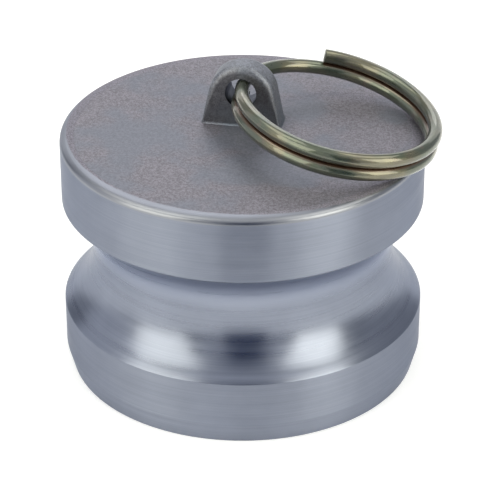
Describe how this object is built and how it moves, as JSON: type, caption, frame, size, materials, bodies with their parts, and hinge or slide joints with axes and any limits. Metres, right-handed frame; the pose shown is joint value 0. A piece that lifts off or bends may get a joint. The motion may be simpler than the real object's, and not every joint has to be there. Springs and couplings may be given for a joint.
{
  "type": "cam and groove dust plug",
  "caption": "Hollow cast plug, turned outside with a smooth nose and a cam groove round its side, with a drilled lug on top that carries a loose split ring for a chain.",
  "frame": {"origin": "on the turning axis, in the plane of the nose's end face, which the part stands on", "axes": "+Z along the turning axis, from the nose to the lug; the hole in the lug runs along Y; the ring lies towards +X"},
  "size_m": [0.0659, 0.063, 0.0542],
  "materials": {
    "cast_aluminium": "turned outside, as cast and blasted on top and inside",
    "plated_wire": "zinc plated, yellow passivated"
  },
  "bodies": {
    "plug": {"plug_body": "cast_aluminium"},
    "ring": {"split_ring": "plated_wire"}
  },
  "joints": [
    {"name": "ring_swing", "type": "hinge", "parent": "plug", "child": "ring", "pos_m": [-0.0007, 0.0044, 0.0494], "axis": [0, -1, 0], "range_deg": [0, 193]}
  ]
}
